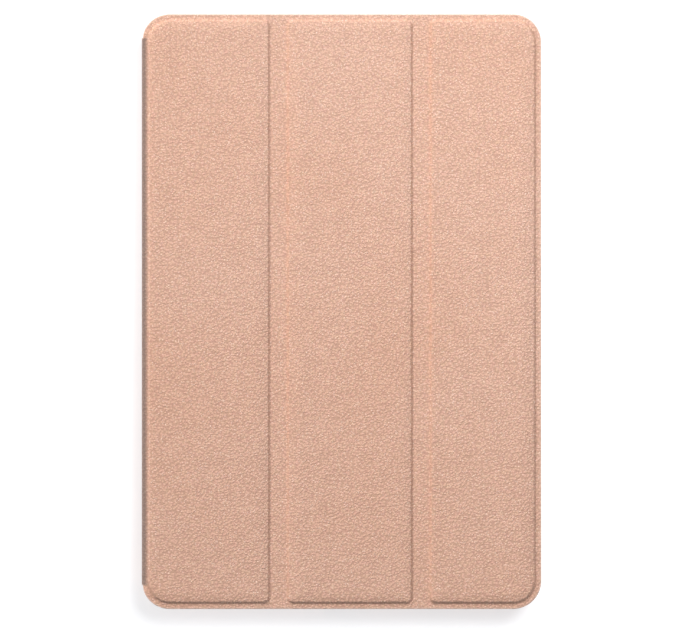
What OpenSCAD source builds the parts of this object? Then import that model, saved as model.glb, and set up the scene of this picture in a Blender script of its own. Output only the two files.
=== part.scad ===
// A tablet computer in its closed tri-fold folio case.
// It lies on its back: +Z points out of the front cover, +Y to the top edge with the rear camera,
// and the spine of the cover is on the -X side. The origin is under the middle of the back.

/* [Tablet] */
// Width of the tablet
tablet_w = 162.4; // [135:0.1:195]
// Length of the tablet
tablet_l = 247; // [205:0.1:300]
// Thickness of the tablet
tablet_t = 7; // [6.8:0.1:9]
// Radius of the tablet's corners
tablet_r = 9.5; // [7.5:0.5:12]
// Thickness of the rear housing's floor
housing_floor_t = 0.8; // [0.6:0.1:1]
// Width of the housing's wall, with the ledge that carries the glass
housing_wall_w = 2.2; // [1.9:0.1:2.6]
// Width of the housing's rim round the glass
rim_w = 0.7; // [0.5:0.1:0.8]
// Height of the glass above the rim
glass_proud = 0.2; // [0.1:0.05:0.4]

/* [Display] */
// Thickness of the cover glass
glass_t = 0.75; // [0.6:0.05:0.9]
// Thickness of the adhesive under the glass
glass_adhesive_t = 0.15; // [0.1:0.05:0.2]
// Distance from the tablet's long sides to the display
display_margin_x = 8.2; // [7:0.1:12]
// Distance from the tablet's short sides to the display
display_margin_y = 8; // [7:0.1:12]
// Thickness of the liquid crystal cell
lcd_t = 0.9; // [0.7:0.05:1]
// Thickness of the backlight
backlight_t = 1.5; // [1.2:0.1:1.6]
// Thickness of the sheet metal behind the backlight
display_shield_t = 0.2; // [0.15:0.05:0.25]
// Thickness of the mid-frame
mid_frame_t = 0.4; // [0.3:0.05:0.5]

/* [Case shell] */
// Clearance between the tablet and the shell's walls
shell_gap = 0.15; // [0.1:0.05:0.3]
// Thickness of the shell's walls
shell_wall_t = 1.5; // [1.2:0.1:2]
// Thickness of the shell's floor
shell_floor_t = 1.2; // [1:0.1:1.6]
// Thickness of the felt under the tablet
felt_t = 0.3; // [0.2:0.05:0.5]
// Clearance between the glass and the lip over its edge
lip_gap = 0.1; // [0.05:0.05:0.2]
// Thickness of the lip
lip_t = 0.4; // [0.3:0.05:0.6]
// Overhang of the lip over the tablet's edge
lip_overhang = 0.75; // [0.5:0.05:0.78]
// Clearance between the shell's lip and the closed cover
cover_gap = 0.2; // [0.1:0.05:0.4]

/* [Cover] */
// Thickness of the leather
leather_t = 0.6; // [0.4:0.05:0.8]
// Thickness of the lining
lining_t = 0.4; // [0.3:0.05:0.5]
// Thickness of the stiff boards in the three panels
board_t = 1.2; // [1:0.1:1.6]
// Overhang of the cover past the shell's long sides
overhang_x = 2.15; // [1.9:0.05:3]
// Overhang of the cover past the shell's short sides
overhang_y = 1.35; // [0.8:0.05:2.5]
// Radius of the cover's corners
cover_r = 12; // [10:0.5:15]
// Radius of the leather where it bends round the spine
spine_r = 2; // [1.6:0.1:2.2]
// Distance from each end of the spine to the cover's short side
spine_end_gap = 10; // [8:0.5:20]
// Thickness of the spine's board
spine_board_t = 0.5; // [0.4:0.05:0.6]
// Thickness of the spine's lining
spine_lining_t = 0.3; // [0.2:0.05:0.4]
// Width of the first panel, next to the spine
panel_1_w = 52.1; // [42:0.1:63]
// Width of the second panel
panel_2_w = 53.6; // [44:0.1:65]
// Width of the soft web at each fold
web_w = 7.1; // [5.5:0.1:9]
// Margin from the spine side of the cover to the first panel
spine_margin = 2.6; // [2.4:0.1:4]
// Margin from the cover's other edges to the panels
edge_margin = 2.33; // [1.8:0.01:4]
// Radius of the panels' corners next to a fold
panel_r = 2.8; // [2:0.1:4]

/* [Keys and ports] */
// Distance from the top edge to the middle of the card tray
tray_from_top = 30.5; // [29:0.5:32]
// Distance from the top edge to the middle of the power key
power_from_top = 51.5; // [50:0.5:56]
// Distance from the top edge to the middle of the volume key
volume_from_top = 75.5; // [72:0.5:84]
// Length of the power key
power_l = 12; // [9:0.5:14]
// Length of the volume key
volume_l = 24; // [20:0.5:28]
// Height of both keys
key_h = 2.4; // [2:0.1:3]
// Height of the keys above the tablet's side
key_proud = 0.7; // [0.4:0.1:0.9]
// Clearance round each key and the tray
key_gap = 0.15; // [0.1:0.05:0.2]
// Width of the card tray's head
tray_w = 14; // [13:0.5:15]
// Height of the card tray's head
tray_h = 1.7; // [1.4:0.1:1.9]
// Diameter of the rear camera's ring
camera_ring_d = 11; // [10:0.5:12]
// Diameter of the camera hole in the case
camera_hole_d = 14; // [13:0.5:17]

/* [Inside] */
// Length of a speaker
speaker_l = 30; // [24:1:36]
// Width of a speaker
speaker_w = 14; // [11:0.5:15]
// Diameter of the speaker holes
speaker_hole_d = 1.2; // [0.8:0.1:1.4]
// Number of speaker holes in a row
speaker_holes = 8; // [5:1:9]
// Thickness of the circuit boards
pcb_t = 0.7; // [0.5:0.05:0.9]
// Gap between the two battery cells
cell_gap = 9; // [8:0.5:14]
// Height of the main board's band, from top to bottom
main_board_h = 34; // [32:1:40]
// Depth of the port board, from the short side inwards
port_board_h = 16; // [14:1:20]
// Clearance between parts that lie side by side
part_gap = 2; // [1:0.5:3]
// Clearance of close fits
fit = 0.05; // [0.02:0.01:0.1]
// Diameter of the screws' shanks
screw_d = 1.4; // [1.2:0.1:1.6]
// Diameter of the screws' heads
screw_head_d = 2.8; // [2.4:0.1:3]

/* [Hidden] */
$fn = 64;
cut = 1;

// Heights, from the table up
shell_z0 = leather_t;
shell_floor_z1 = shell_z0 + shell_floor_t;
tablet_z0 = shell_floor_z1 + felt_t;
tablet_z1 = tablet_z0 + tablet_t;
lip_z0 = tablet_z1 + lip_gap;
shell_z1 = lip_z0 + lip_t;
cover_z0 = shell_z1 + cover_gap;
web_z0 = cover_z0 + lining_t;
web_z1 = web_z0 + leather_t;
board_z1 = web_z0 + board_t;
cover_z1 = board_z1 + leather_t;

// Heights inside the tablet
floor_z = tablet_z0 + housing_floor_t;
glass_z0 = tablet_z1 - glass_t;
ledge_z = glass_z0 - glass_adhesive_t;
rim_z = tablet_z1 - glass_proud;
lcd_z0 = glass_z0 - lcd_t;
backlight_z0 = lcd_z0 - backlight_t;
display_shield_z0 = backlight_z0 - display_shield_t;
mid_z1 = display_shield_z0 - fit;
mid_z0 = mid_z1 - mid_frame_t;
sheet_t = 0.1;
under_mid_z = mid_z0 - sheet_t;
cell_z0 = floor_z + sheet_t;
component_h = 0.8;
pcb_z1 = under_mid_z - component_h;
pcb_z0 = pcb_z1 - pcb_t;
flex_t = 0.2;
key_z = tablet_z0 + tablet_t / 2;
speaker_z = (floor_z + under_mid_z) / 2;

// Plan of the case
shell_out = shell_gap + shell_wall_t;
shell_w = tablet_w + 2 * shell_out;
shell_l = tablet_l + 2 * shell_out;
cover_w = shell_w + 2 * overhang_x;
cover_l = shell_l + 2 * overhang_y;
spine_l = cover_l - 2 * spine_end_gap;
bend_x = -cover_w / 2 + spine_r;
panel_y = cover_l / 2 - edge_margin;
panel_outer_r = cover_r - edge_margin;
panel_1_x1 = -cover_w / 2 + spine_margin + panel_1_w;
panel_2_x0 = panel_1_x1 + web_w;
panel_2_x1 = panel_2_x0 + panel_2_w;
fold_1_x = panel_1_x1 + web_w / 2;
fold_2_x = panel_2_x1 + web_w / 2;

// Each panel: its left and right edges, the radii there, and where its leather starts and ends
panels = [
    [-cover_w / 2 + spine_margin, panel_1_x1, panel_outer_r, panel_r, bend_x, fold_1_x],
    [panel_2_x0, panel_2_x1, panel_r, panel_r, fold_1_x, fold_2_x],
    [panel_2_x1 + web_w, cover_w / 2 - edge_margin, panel_r, panel_outer_r, fold_2_x, cover_w / 2],
];

// Plan of the tablet
side_x = tablet_w / 2;
wall_x = side_x - housing_wall_w;
end_y = tablet_l / 2;
wall_y = end_y - housing_wall_w;
display_x = side_x - display_margin_x;
display_y = end_y - display_margin_y;
bezel_x = side_x - 4.9;
tray_y = end_y - tray_from_top;
power_y = end_y - power_from_top;
volume_y = end_y - volume_from_top;
camera_place = [side_x - 13.2, end_y - 13.5];
camera_module_w = 9.5;

// Plan of the boards, the cells and the speakers
board_top_y = wall_y - 2.3;
band_y1 = board_top_y - speaker_w - part_gap - 1;
band_y0 = band_y1 - main_board_h;
port_y0 = -board_top_y;
port_y1 = port_y0 + port_board_h;
speaker_x = camera_place[0] - camera_module_w / 2 - 3 * part_gap - speaker_l / 2;
tab_x = speaker_x - speaker_l / 2 - part_gap;
port_board_x = tab_x - 1;
microphone_x = tab_x - 2.2;
mesh_t = 0.4;
board_x = wall_x - 5;
cell_x1 = wall_x - 5.5;
cell_y0 = port_y1 + 5;
cell_y1 = band_y0 - 4;
flex_w = cell_gap - 2.2;
display_flex_w = 14;

// Card tray and its reader
tray_x0 = side_x - 26;
tray_blade_t = 0.45;
tray_blade_w = tray_w - 1.6;
tray_head_t = 1.3;
reader_wall = 0.2;
tray_z = pcb_z1 + reader_wall + fit;

// Keys: the flange behind the wall, the push points and the switches
flange_t = 0.65;
flange_over = 0.8;
push_d = 2;
switch_x0 = wall_x - 3.7;
switch_h = 1.2;
press_gap = 0.3;
rock_gap = 0.35;
trunnion_d = 1;
trunnion_x = wall_x - 0.8;
ear_t = 0.35;
ear_z = key_h / 2 + flange_over + ear_t;

// USB-C receptacle
usb_w = 8.94;
usb_h = 3.26;
usb_depth = 7.3;
usb_wall = 0.3;
usb_tongue_w = 6.69;
usb_tongue_t = 0.7;

// Screws
screw_head_t = 0.5;
boss_d = 4;
corner_y = end_y - 11.5;
frame_screw_places = [
    for (y = [-corner_y, -corner_y / 2, 0, corner_y / 2, corner_y]) [-side_x + 5, y],
    for (y = [-corner_y, -30, volume_y - 22, corner_y]) [side_x - 5, y],
];
main_screw_places = [
    [-board_x + 5, band_y0 + 5], [-board_x + 5, band_y1 - 5], [board_x - 5, band_y0 + 5],
    [tray_x0 - 10, band_y1 - 5], [tab_x - 3, board_top_y - 6], [-tab_x + 3, board_top_y - 6],
];
port_screw_places = [for (s = [-1, 1]) [s * (port_board_x - 4), port_y1 - 3]];
board_screw_places = concat(main_screw_places, port_screw_places);

// A box between two values on each axis
module block(x, y, z)
    translate([x[0], y[0], z[0]]) cube([x[1] - x[0], y[1] - y[0], z[1] - z[0]]);

// A flat piece of the outline given, between two heights
module plate(z0, z1) translate([0, 0, z0]) linear_extrude(z1 - z0) children();

// A shape drawn in Y and Z, drawn out along X
module along_x(x0, x1) translate([x0, 0, 0]) rotate([90, 0, 90]) linear_extrude(x1 - x0) children();

// A shape drawn in X and Z, drawn out along Y
module along_y(y0, y1) translate([0, y1, 0]) rotate([90, 0, 0]) linear_extrude(y1 - y0) children();

// A slot's outline: a rectangle with half-round ends, about (x, y)
module slot(x, y, w, h) translate([x, y]) {
    square([w - h, h], center = true);
    for (s = [-1, 1]) translate([s * (w - h) / 2, 0]) circle(d = h);
}

// A rectangle about the X axis with one radius at its left corners and another at its right
module rounded(x0, x1, y, left_r, right_r) {
    translate([x0 + left_r, -y]) square([x1 - x0 - left_r - right_r, 2 * y]);
    translate([x0, left_r - y]) square([left_r, 2 * (y - left_r)]);
    translate([x1 - right_r, right_r - y]) square([right_r, 2 * (y - right_r)]);
    for (s = [-1, 1]) {
        translate([x0 + left_r, s * (y - left_r)]) circle(left_r);
        translate([x1 - right_r, s * (y - right_r)]) circle(right_r);
    }
}

// The tablet's outline, inset
module tablet_outline(inset = 0)
    rounded(inset - side_x, side_x - inset, end_y - inset, tablet_r - inset, tablet_r - inset);

// The cover's outline, inset
module cover_outline(inset = 0)
    rounded(inset - cover_w / 2, cover_w / 2 - inset, cover_l / 2 - inset, cover_r - inset, cover_r - inset);

// The raised part of a panel, inset
module panel_outline(p, inset = 0)
    rounded(p[0] + inset, p[1] - inset, panel_y - inset, p[2] - inset, p[3] - inset);

// The stretch of the cover that belongs to a panel, from fold to fold
module panel_stretch(p, inset = 0) intersection() {
    cover_outline(inset);
    translate([p[4], -cover_l]) square([p[5] - p[4], 2 * cover_l]);
}

// A bend of the leather along the spine, about the height z, from one angle to the next
module bend(z, from, to) along_y(-spine_l / 2, spine_l / 2) translate([bend_x, z]) intersection() {
    difference() {
        circle(spine_r);
        circle(spine_r - leather_t);
    }
    polygon([[0, 0], 2 * spine_r * [cos(from), sin(from)], 2 * spine_r * [cos(to), sin(to)]]);
}

// The camera hole through the back of the case
module camera_hole() translate([camera_place[0], camera_place[1], -cut])
    cylinder(d = camera_hole_d, h = tablet_z0 + 2 * cut);

// Upright cylinders at a list of places
module pins(places, d, z0, z1) for (p = places) translate([p[0], p[1], z0]) cylinder(d = d, h = z1 - z0);

// A screw at each place, with the underside of its head at z
module screws(places, z, length) {
    pins(places, screw_head_d, z, z + screw_head_t);
    pins(places, screw_d, z - length, z);
}

// ---- Case shell ----

module case_shell() color("rosybrown") difference() {
    plate(shell_z0, shell_z1) tablet_outline(-shell_out);
    plate(shell_floor_z1, lip_z0) tablet_outline(-shell_gap);
    plate(shell_floor_z1, shell_z1 + cut) tablet_outline(lip_overhang);
    camera_hole();
    // the long opening for the keys and the card tray
    block([wall_x, shell_w], [volume_y - volume_l / 2 - 3, tray_y + tray_w / 2 + 3], [floor_z + 1, cover_z0]);
    // the charging port, open up to the rim
    block([-8, 8], [-shell_l, -wall_y], [key_z - 3.25, cover_z0]);
    // the speakers
    for (sy = [-1, 1], sx = [-1, 1])
        block([sx * speaker_x - 12, sx * speaker_x + 12], [sy * shell_l / 2 - 3, sy * shell_l / 2 + 3],
            [speaker_z - 1.5, speaker_z + 1.5]);
}

module case_back_leather() color("tan") difference() {
    union() {
        plate(0, shell_z0) rounded(bend_x, shell_w / 2, shell_l / 2, tablet_r, tablet_r + shell_out);
        bend(spine_r, 225, 270);
    }
    camera_hole();
}

module case_felt() color("dimgray") difference() {
    plate(shell_floor_z1, tablet_z0) tablet_outline(1);
    camera_hole();
}

// ---- Spine ----

module spine_leather() color("tan") {
    bend(spine_r, 180, 225);
    block([-cover_w / 2, leather_t - cover_w / 2], [-spine_l / 2, spine_l / 2], [spine_r, web_z1 - spine_r]);
    bend(web_z1 - spine_r, 135, 180);
}

module spine_board() color("dimgray") translate([leather_t - cover_w / 2, 0, 0])
    block([0, spine_board_t], [-spine_l / 2, spine_l / 2], [spine_r, web_z1 - spine_r]);

module spine_lining() color("gray") translate([leather_t + spine_board_t - cover_w / 2, 0, 0])
    block([0, spine_lining_t], [-spine_l / 2, spine_l / 2], [spine_r, web_z1 - spine_r]);

// ---- Cover panels ----

// The leather lies flat all over a panel's stretch and rises over its board
module panel_leather(p) color("tan") difference() {
    union() {
        plate(web_z0, web_z1) panel_stretch(p);
        plate(web_z0, cover_z1) panel_outline(p);
    }
    plate(web_z0 - cut, board_z1) panel_outline(p, leather_t);
}

module panel_lining(p) color("gray") plate(cover_z0, web_z0) panel_stretch(p, leather_t);

module panel_board(p) color("dimgray") plate(web_z0, board_z1) panel_outline(p, leather_t + fit);

// The first panel's steel strip and the third panel's magnets lie in pockets under the boards
strip_t = 0.7;
magnet_t = 0.9;
module steel_strip(gap = 0) translate([panels[0][0], 0, 0])
    block([2 - gap, 7 + gap], [-60 - gap, 60 + gap], [web_z0 - gap, web_z0 + strip_t + gap]);

module cover_magnets(gap = 0) for (s = [-1, 0, 1]) translate([panels[2][1], 0.75 * s * corner_y, 0])
    block([-6 - gap, -2 + gap], [-10 - gap, 10 + gap], [web_z0 - gap, web_z0 + magnet_t + gap]);

module cover_wake_magnet(gap = 0) translate([bezel_x, -corner_y / 2, 0])
    block([-2 - gap, 2 + gap], [-4 - gap, 4 + gap], [web_z0 - gap, web_z0 + magnet_t + gap]);

module panel_1_leather() {
    panel_leather(panels[0]);
    color("tan") bend(web_z1 - spine_r, 90, 135);
}
module panel_1_board() difference() {
    panel_board(panels[0]);
    steel_strip(fit);
}
module panel_1_lining() panel_lining(panels[0]);
module stand_steel_strip() color("silver") steel_strip();

module panel_2_leather() panel_leather(panels[1]);
module panel_2_board() panel_board(panels[1]);
module panel_2_lining() panel_lining(panels[1]);

module panel_3_leather() panel_leather(panels[2]);
module panel_3_board() difference() {
    panel_board(panels[2]);
    cover_magnets(fit);
    cover_wake_magnet(fit);
}
module panel_3_lining() panel_lining(panels[2]);
module closing_magnets() color("silver") cover_magnets();
module wake_magnet() color("silver") cover_wake_magnet();

// ---- Rear housing ----

// A row of speaker holes through a short side
module speaker_hole_row(x, s) for (i = [0:speaker_holes - 1])
    translate([x + (i - (speaker_holes - 1) / 2) * 2 * speaker_hole_d, s * end_y, speaker_z])
        rotate([90, 0, 0]) cylinder(d = speaker_hole_d, h = 3 * housing_wall_w, center = true);

module antenna_window_shapes() for (s = [-1, 1])
    along_x(-side_x, -wall_x) slot(s * (end_y - 33), key_z, 36, 4.2);

module rear_housing() color("silver") difference() {
    union() {
        difference() {
            plate(tablet_z0, rim_z) tablet_outline();
            plate(ledge_z, tablet_z1) tablet_outline(rim_w);
            plate(floor_z, tablet_z1) tablet_outline(housing_wall_w);
        }
        pins(frame_screw_places, boss_d, floor_z - housing_floor_t / 2, mid_z0);
        pins(board_screw_places, boss_d, floor_z - housing_floor_t / 2, pcb_z0);
    }
    pins(concat(frame_screw_places, board_screw_places), screw_d + 2 * fit, floor_z, tablet_z1);
    pins([camera_place], camera_ring_d + 2 * fit, tablet_z0 - cut, floor_z + cut);
    for (s = [-1, 1], x = [-speaker_x, speaker_x]) speaker_hole_row(x, s);
    along_y(-end_y - cut, -wall_y + cut) slot(0, key_z, usb_w + 4 * fit, usb_h + 4 * fit);
    // holes for the microphones
    for (s = [-1, 1]) translate([s * microphone_x, s * end_y, pcb_z1 + 0.5]) rotate([90, 0, 0])
        cylinder(d = 0.8, h = 3 * housing_wall_w, center = true);
    along_x(wall_x - cut, side_x + cut) {
        slot(power_y, key_z, power_l + 2 * key_gap, key_h + 2 * key_gap);
        slot(volume_y, key_z, volume_l + 2 * key_gap, key_h + 2 * key_gap);
        slot(tray_y, tray_z + tray_blade_t / 2, tray_w + 2 * key_gap, tray_h + 2 * key_gap);
    }
    antenna_window_shapes();
}

module antenna_windows() color("gainsboro") antenna_window_shapes();

module mid_frame() color("gray") difference() {
    plate(mid_z0, mid_z1) tablet_outline(housing_wall_w + 4 * fit);
    pins(frame_screw_places, screw_d + 4 * fit, mid_z0 - cut, mid_z1 + cut);
    // the bay for the keys and their switches
    block([switch_x0 - 0.8, side_x], [volume_y - volume_l / 2 - 3, power_y + power_l / 2 + 3],
        [mid_z0 - cut, mid_z1 + cut]);
    // the way for the display's flat cable
    block([-display_flex_w / 2 - 1, display_flex_w / 2 + 1], [display_y + 0.6, display_y + 2.8],
        [mid_z0 - cut, mid_z1 + cut]);
    // the charging port stands through the lower edge
    block([-usb_w / 2 - 2, usb_w / 2 + 2], [-end_y, usb_depth + 1 - end_y], [mid_z0 - cut, mid_z1 + cut]);
    // four windows over the battery cells
    for (sx = [-1, 1], y = [cell_y0 + 15, (cell_y0 + cell_y1) / 2 + 8])
        plate(mid_z0 - cut, mid_z1 + cut)
            translate([sx * (cell_gap + cell_x1) / 2, y + (cell_y1 - cell_y0) / 5])
                rounded(-cell_x1 / 4, cell_x1 / 4, (cell_y1 - cell_y0) / 7, 4, 4);
}

// ---- Display ----

module cover_glass() color("black") plate(glass_z0, tablet_z1) tablet_outline(rim_w + 2 * fit);

module display_adhesive() color("dimgray") difference() {
    plate(ledge_z, glass_z0) tablet_outline(rim_w + 4 * fit);
    plate(ledge_z - cut, glass_z0 + cut) tablet_outline(housing_wall_w - 2 * fit);
}

module display_plate(z0, z1, inset = 0)
    block([inset - display_x, display_x - inset], [inset - display_y, display_y - inset], [z0, z1]);

module lcd_cell() color("black") display_plate(lcd_z0, glass_z0);
module backlight_unit() color("white") display_plate(backlight_z0, lcd_z0, 0.2);
module display_shield() color("silver") display_plate(display_shield_z0, backlight_z0, 0.2);

// The flat cable leaves the cell's top edge, turns down through the mid-frame and plugs into the main board
module display_flex() color("orange") {
    socket_z = pcb_z1 + 0.4;
    turn_y = display_y + 1.8;
    along_x(-display_flex_w / 2, display_flex_w / 2) polygon([
        [display_y, lcd_z0 + 0.1], [turn_y - flex_t, lcd_z0 + 0.1], [turn_y - flex_t, socket_z + flex_t],
        [display_y - 6, socket_z + flex_t], [display_y - 6, socket_z], [turn_y, socket_z],
        [turn_y, lcd_z0 + 0.1 + flex_t], [display_y, lcd_z0 + 0.1 + flex_t],
    ]);
    block([1 - display_flex_w / 2, display_flex_w / 2 - 1], [display_y - 5.6, display_y - 2],
        [pcb_z1, socket_z]);
}

// ---- Battery ----

module battery_cell(s) color("darkslategray")
    translate([s * (cell_x1 + cell_gap / 2) / 2, (cell_y0 + cell_y1) / 2, 0]) plate(cell_z0, under_mid_z)
        rounded(-(cell_x1 - cell_gap / 2) / 2, (cell_x1 - cell_gap / 2) / 2, (cell_y1 - cell_y0) / 2, 2, 2);

module battery_cell_left() battery_cell(-1);
module battery_cell_right() battery_cell(1);

module battery_adhesive() color("white") for (sx = [-1, 1], y = [0.3, 0.7])
    translate([sx * (cell_x1 + cell_gap / 2) / 2, cell_y0 + y * (cell_y1 - cell_y0), 0])
        block([-25, 25], [-12, 12], [floor_z, cell_z0]);

// The board sits between the cells and the main board, with a tab over to the left cell
module battery_protection_board() color("green") {
    tab_z = cell_z0 + 0.9;
    block([cell_gap / 2, cell_x1 - 25], [cell_y1, cell_y1 + 3.4], [cell_z0, pcb_z0 + 0.5]);
    block([-cell_gap / 2 - 20, cell_gap / 2], [cell_y1, cell_y1 + 1], [tab_z, tab_z + flex_t]);
    block([cell_gap / 2 + 8, cell_gap / 2 + 16], [cell_y1 + 3.4, band_y0 + 4], [pcb_z0 - 0.5, pcb_z0]);
}

// ---- Boards ----

module main_board() color("darkgreen") difference() {
    union() {
        block([-board_x, board_x], [band_y0, band_y1], [pcb_z0, pcb_z1]);
        block([-tab_x, tab_x], [band_y1, board_top_y], [pcb_z0, pcb_z1]);
        block([board_x, board_x + 3.5], [tray_y - tray_w / 2 - 1.5, band_y1], [pcb_z0, pcb_z1]);
    }
    pins(main_screw_places, screw_d + 4 * fit, pcb_z0 - cut, pcb_z1 + cut);
}

// A drawn metal lid over a group of chips
module shield_lid(x, y) difference() {
    block(x, y, [pcb_z1, under_mid_z]);
    block([x[0] + reader_wall, x[1] - reader_wall], [y[0] + reader_wall, y[1] - reader_wall],
        [pcb_z1 - cut, under_mid_z - reader_wall]);
}
module processor_shield() color("silver") shield_lid([-38, -4], [band_y0 + 4, band_y1 - 6]);
module radio_shield() color("silver") shield_lid([8, 28], [band_y0 + 4, band_y1 - 8]);
module thermal_sheet() color("black")
    block([-38, 28], [band_y0 + 4, band_y1 - 6], [under_mid_z, mid_z0]);

module port_board() color("darkgreen") difference() {
    block([-port_board_x, port_board_x], [port_y0, port_y1], [pcb_z0, pcb_z1]);
    block([-usb_w / 2 - 0.3, usb_w / 2 + 0.3], [port_y0 - cut, usb_depth + 0.3 - end_y],
        [pcb_z0 - cut, pcb_z1 + cut]);
    pins(port_screw_places, screw_d + 4 * fit, pcb_z0 - cut, pcb_z1 + cut);
}

// A metal shell with the contact tongue in it, and four feet on the port board
module usb_c_receptacle() color("silver") {
    back_y = usb_depth - end_y;
    difference() {
        along_y(-end_y, back_y) slot(0, key_z, usb_w, usb_h);
        along_y(-end_y - cut, back_y - usb_wall) slot(0, key_z, usb_w - 2 * usb_wall, usb_h - 2 * usb_wall);
    }
    block([-usb_tongue_w / 2, usb_tongue_w / 2], [0.8 - end_y, back_y - usb_wall / 2],
        [key_z - usb_tongue_t / 2, key_z + usb_tongue_t / 2]);
    for (s = [-1, 1], y = [-1.5, -4]) translate([0, back_y + y, 0])
        block([s * (usb_w / 2 + 0.6) - 1, s * (usb_w / 2 + 0.6) + 1], [-0.5, 0.5], [pcb_z1, pcb_z1 + 0.2]);
}

// A flat cable on the floor between the cells, with a plug under each board
module interconnect_flex() color("orange") {
    block([-flex_w / 2, flex_w / 2], [port_y1 - 6, band_y0 + 6], [floor_z, floor_z + flex_t]);
    for (y = [[port_y1 - 6, port_y1 - 2], [band_y0 + 2, band_y0 + 6]])
        block([-flex_w / 2, flex_w / 2], y, [floor_z, pcb_z0]);
}

// ---- Speakers and microphones ----

// A flat speaker box with a shallow cone and a mouth towards the short side
module speaker(sx, sy) color("dimgray") translate([sx * speaker_x, 0, 0]) {
    inner_y = board_top_y - speaker_w;
    translate([0, sy * (inner_y + speaker_w / 2), 0]) difference() {
        block([-speaker_l / 2, speaker_l / 2], [-speaker_w / 2, speaker_w / 2], [floor_z, under_mid_z]);
        plate(under_mid_z - 0.4, under_mid_z + cut) slot(0, 0, speaker_l - 8, speaker_w - 4);
    }
    mirror([0, sy < 0 ? 1 : 0, 0])
        block([-speaker_l / 3, speaker_l / 3], [board_top_y, wall_y - mesh_t], [floor_z, under_mid_z]);
}
module speaker_top_left() speaker(-1, 1);
module speaker_top_right() speaker(1, 1);
module speaker_bottom_left() speaker(-1, -1);
module speaker_bottom_right() speaker(1, -1);

module speaker_meshes() color("black") for (sx = [-1, 1], sy = [0, 1]) mirror([0, sy, 0])
    translate([sx * speaker_x, 0, 0])
        block([-speaker_l / 3, speaker_l / 3], [wall_y - mesh_t, wall_y], [floor_z, under_mid_z]);

module microphones() color("gold") for (s = [-1, 1]) mirror([0, s < 0 ? 1 : 0, 0])
    translate([s * microphone_x, board_top_y, pcb_z1]) block([-1.7, 1.7], [-2.8, 0], [0, component_h]);

// ---- Cameras and sensors ----

module front_camera() color("black") {
    block([bezel_x - 2.5, bezel_x + 2.5], [-2.5, 2.5], [mid_z1, mid_z1 + 1]);
    pins([[bezel_x, 0]], 4.4, mid_z1, glass_z0);
}

module rear_camera() color("black") {
    half = camera_module_w / 2;
    translate([camera_place[0], camera_place[1], 0])
        block([-half, half], [-half, half], [cell_z0, under_mid_z]);
    pins([camera_place], 7.4, tablet_z0 - 0.2, cell_z0);
}

module rear_camera_ring() color("gainsboro") difference() {
    pins([camera_place], camera_ring_d, tablet_z0 - 0.7, floor_z);
    pins([camera_place], 8, tablet_z0 - cut, floor_z + cut);
}

module rear_camera_lens() color("black") pins([camera_place], 8 - 2 * fit, tablet_z0 - 0.6, tablet_z0 - 0.2);

// A small sensor on the mid-frame, under the glass's border
module sensor(y, z1) color("black") translate([bezel_x, y, 0]) block([-1, 1], [-1.5, 1.5], [mid_z1, z1]);
module hall_sensor() sensor(-corner_y / 2, mid_z1 + component_h);
module light_sensor() sensor(-10, glass_z0);

module wifi_antennas() color("goldenrod") for (s = [-1, 1]) translate([-wall_x, s * (end_y - 33), 0])
    block([fit, fit + 0.3], [-17, 17], [floor_z, under_mid_z]);

// ---- Keys ----

// A key's cap, which stands out of the wall, and its flange behind the wall
module key_cap(y, length, behind) {
    along_x(wall_x - behind - flange_t, side_x + key_proud) slot(y, key_z, length, key_h);
    along_x(wall_x - behind - flange_t, wall_x - behind)
        slot(y, key_z, length + 2 * flange_over, key_h + 2 * flange_over);
}

// A round push point from a switch to the key's flange
module push_point(y) translate([switch_x0 + switch_h + press_gap, y, key_z]) rotate([0, 90, 0])
    cylinder(d = push_d, h = wall_x - flange_t - switch_x0 - switch_h - press_gap);

module power_key() color("silver") {
    key_cap(power_y, power_l, fit);
    push_point(power_y);
}

// The volume key rocks on its trunnions, which turn in the bracket's ears
module volume_key() color("silver") {
    key_cap(volume_y, volume_l, rock_gap);
    for (s = [-1, 1]) push_point(volume_y + s * volume_l / 3);
    pins([[trunnion_x, volume_y]], trunnion_d, key_z - ear_z, key_z + ear_z);
}

module key_bracket() color("gray") {
    y0 = volume_y - volume_l / 2 - 2;
    y1 = power_y + power_l / 2 + 2;
    block([switch_x0 - 0.6, switch_x0 - flex_t], [y0, y1], [key_z - ear_z, key_z + ear_z]);
    for (y = [y0, y1 - 0.4]) block([switch_x0 - 0.4, wall_x], [y, y + 0.4], [key_z - 2, key_z + 2]);
    difference() {
        for (z = [key_z - ear_z, key_z + ear_z - ear_t + 0.1])
            block([switch_x0 - 0.4, wall_x - 0.1], [volume_y - 1.3, volume_y + 1.3], [z, z + ear_t - 0.1]);
        pins([[trunnion_x, volume_y]], trunnion_d + 4 * fit, key_z - ear_z - cut, key_z + ear_z + cut);
    }
}

// A flat cable on the bracket with a domed switch for each push point
module key_switches() color("orange") {
    block([switch_x0 - flex_t, switch_x0], [volume_y - volume_l / 2 - 1, power_y + power_l / 2 + 1],
        [key_z - 1.2, key_z + 1.2]);
    for (y = [power_y, volume_y - volume_l / 3, volume_y + volume_l / 3])
        translate([switch_x0, y, key_z]) rotate([0, 90, 0]) cylinder(d = push_d + 0.4, h = switch_h);
}

// ---- Card tray ----

module card_tray() color("silver") difference() {
    union() {
        along_x(side_x - tray_head_t, side_x) slot(tray_y, tray_z + tray_blade_t / 2, tray_w, tray_h);
        block([tray_x0, side_x - tray_head_t], [tray_y - tray_blade_w / 2, tray_y + tray_blade_w / 2],
            [tray_z, tray_z + tray_blade_t]);
    }
    // the seat of the card
    block([tray_x0 + 3, tray_x0 + 15.3], [tray_y - 4.4, tray_y + 4.4], [tray_z - cut, tray_z + cut]);
    // the hole for the eject pin
    translate([0, tray_y + tray_w / 2 - 1.9, tray_z + tray_blade_t / 2]) rotate([0, 90, 0])
        cylinder(d = 0.9, h = side_x + cut);
}

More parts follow.
